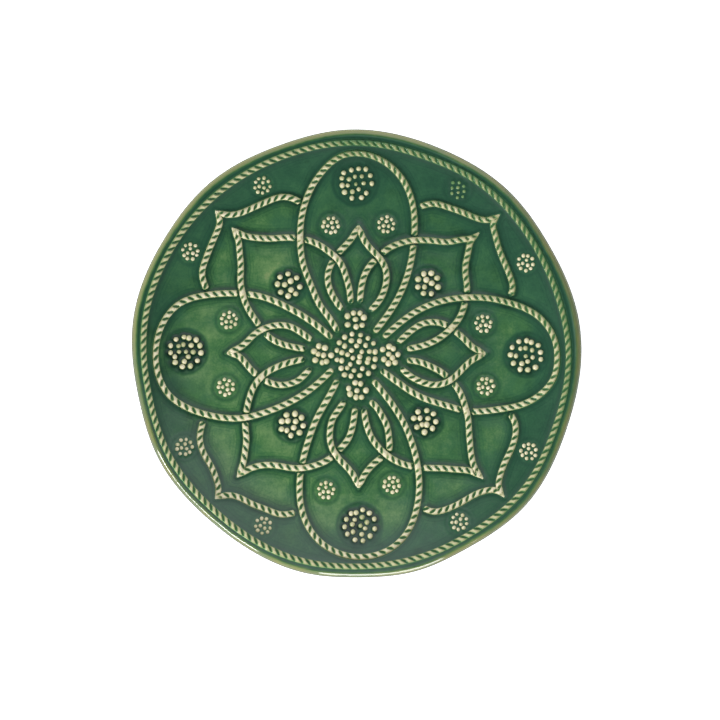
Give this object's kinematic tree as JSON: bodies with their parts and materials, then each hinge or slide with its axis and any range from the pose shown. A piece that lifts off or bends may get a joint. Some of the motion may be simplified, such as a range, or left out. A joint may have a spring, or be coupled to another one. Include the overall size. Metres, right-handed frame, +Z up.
{
  "type": "relief plate",
  "caption": "Round shallow serving plate on a foot ring, its face covered in twisted rope relief and bead clusters under a pooled green glaze",
  "frame": {"origin": "middle of the foot ring's resting plane, on the plate's axis", "axes": "+Z up through the face, +Y towards the north oval, +X towards the east oval"},
  "size_m": [0.2696, 0.2686, 0.0226],
  "materials": {
    "body_glaze": "glossy",
    "foot_clay": "matte",
    "rope_glaze": "glossy",
    "bead_glaze": "glossy"
  },
  "bodies": {
    "root": {"plate_body": "body_glaze", "foot_ring": "foot_clay", "rope_border": "rope_glaze", "rope_oval_north": "rope_glaze", "rope_petal_north": "rope_glaze", "rope_oval_west": "rope_glaze", "rope_petal_west": "rope_glaze", "rope_oval_south": "rope_glaze", "rope_petal_south": "rope_glaze", "rope_oval_east": "rope_glaze", "rope_petal_east": "rope_glaze", "rope_corner_ne": "rope_glaze", "rope_outer_ne": "rope_glaze", "rope_corner_nw": "rope_glaze", "rope_outer_nw": "rope_glaze", "rope_corner_sw": "rope_glaze", "rope_outer_sw": "rope_glaze", "rope_corner_se": "rope_glaze", "rope_outer_se": "rope_glaze", "beads_centre": "bead_glaze", "beads_satellite_north": "bead_glaze", "beads_large_north": "bead_glaze", "beads_small_oval_north_a": "bead_glaze", "beads_small_oval_north_b": "bead_glaze", "beads_satellite_west": "bead_glaze", "beads_large_west": "bead_glaze", "beads_small_oval_west_a": "bead_glaze", "beads_small_oval_west_b": "bead_glaze", "beads_satellite_south": "bead_glaze", "beads_large_south": "bead_glaze", "beads_small_oval_south_a": "bead_glaze", "beads_small_oval_south_b": "bead_glaze", "beads_satellite_east": "bead_glaze", "beads_large_east": "bead_glaze", "beads_small_oval_east_a": "bead_glaze", "beads_small_oval_east_b": "bead_glaze", "beads_middle_ne": "bead_glaze", "beads_small_rim_ne_a": "bead_glaze", "beads_small_rim_ne_b": "bead_glaze", "beads_middle_nw": "bead_glaze", "beads_small_rim_nw_a": "bead_glaze", "beads_small_rim_nw_b": "bead_glaze", "beads_middle_sw": "bead_glaze", "beads_small_rim_sw_a": "bead_glaze", "beads_small_rim_sw_b": "bead_glaze", "beads_middle_se": "bead_glaze", "beads_small_rim_se_a": "bead_glaze", "beads_small_rim_se_b": "bead_glaze"}
  },
  "joints": []
}
